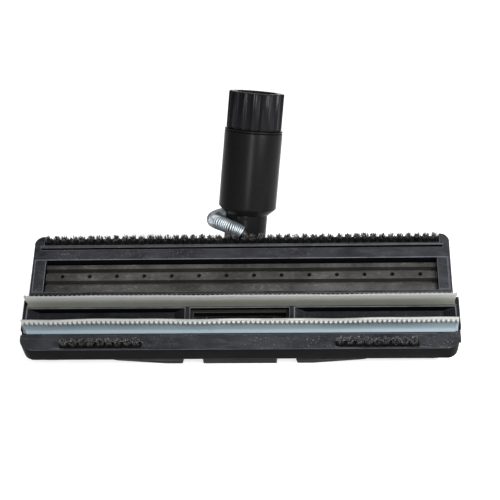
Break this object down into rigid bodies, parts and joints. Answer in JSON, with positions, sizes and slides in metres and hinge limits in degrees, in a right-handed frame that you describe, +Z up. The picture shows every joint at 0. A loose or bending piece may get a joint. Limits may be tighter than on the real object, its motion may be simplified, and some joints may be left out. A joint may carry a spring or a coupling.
{
  "type": "wet dry floor scrubber floor tool",
  "caption": "Floor tool of a wet and dry floor scrubber, working face up: spray bar between two squeegee lips, bristle rows, and a tilting suction neck with a swivel collar.",
  "frame": {"origin": "centre of the bounding box at floor level, with the tool lying on the sloping back of its duct housing and its working face up", "axes": "+X along the squeegee lips, to the right as seen from the front edge; +Y towards the rear edge and the wand; +Z up from the floor the tool lies on"},
  "size_m": [0.367, 0.1884, 0.1906],
  "materials": {
    "chassis_plastic": "moulded, satin, dusty",
    "cover_plastic": "moulded, fine grain",
    "spray_bar_plastic": "extruded, dusty",
    "fitting_plastic": "moulded, translucent grey",
    "brush_back_plastic": "moulded",
    "bristle": "bundled nylon filament",
    "rear_lip_rubber": "smooth, satin",
    "front_lip_rubber": "smooth, satin",
    "steel": "zinc plated",
    "spring_steel": "bright drawn wire",
    "hose_rubber": "smooth",
    "seal_rubber": "smooth",
    "neck_plastic": "moulded, satin",
    "wand_plastic": "extruded, satin"
  },
  "bodies": {
    "head": {"chassis": "chassis_plastic", "end_panel_left": "chassis_plastic", "end_panel_right": "chassis_plastic", "spray_bar": "spray_bar_plastic", "spray_bar_plugs": "spray_bar_plastic", "spray_inlet": "fitting_plastic", "feed_tube": "fitting_plastic", "rear_brush_back": "brush_back_plastic", "rear_bristles": "bristle", "front_brush_back_left": "brush_back_plastic", "front_brush_back_right": "brush_back_plastic", "front_bristles_left": "bristle", "front_bristles_right": "bristle", "rear_squeegee": "rear_lip_rubber", "rear_squeegee_clamp": "brush_back_plastic", "front_squeegee": "front_lip_rubber", "front_squeegee_clamp": "brush_back_plastic", "clamp_screws": "steel", "channel_insert": "cover_plastic", "suction_seal": "seal_rubber", "top_cover": "cover_plastic", "cover_screws": "steel", "duct_housing": "cover_plastic", "housing_screws": "steel", "swivel_seal": "seal_rubber", "hose_socket": "cover_plastic"},
    "knuckle": {"knuckle": "cover_plastic", "swivel_clip": "steel", "tilt_pins": "steel", "spray_hose": "hose_rubber", "hose_spring": "spring_steel"},
    "neck": {"neck": "neck_plastic", "neck_latch": "cover_plastic", "hose_fitting": "cover_plastic", "neck_seal": "seal_rubber"},
    "wand": {"swivel_collar": "neck_plastic", "collar_ring": "neck_plastic", "wand_socket": "wand_plastic", "wand_seal": "seal_rubber"}
  },
  "joints": [
    {"name": "neck_roll", "type": "hinge", "parent": "head", "child": "knuckle", "pos_m": [0, 0.00784, 0.03684], "axis": [0, 0.8849, 0.4657], "range_deg": [-23.6, 6.4], "deforming": ["spray_hose", "hose_spring"]},
    {"name": "neck_tilt", "type": "hinge", "parent": "knuckle", "child": "neck", "pos_m": [-0.00179, 0.01336, 0.02634], "axis": [0.9888, 0.0696, -0.1323], "range_deg": [-95, 0], "deforming": ["spray_hose", "hose_spring"]},
    {"name": "wand_swivel", "type": "hinge", "parent": "neck", "child": "wand", "pos_m": [0.00721, 0.04482, 0.11018], "axis": [0.1001, 0.3495, 0.9316], "range_deg": [-90, 90]}
  ]
}
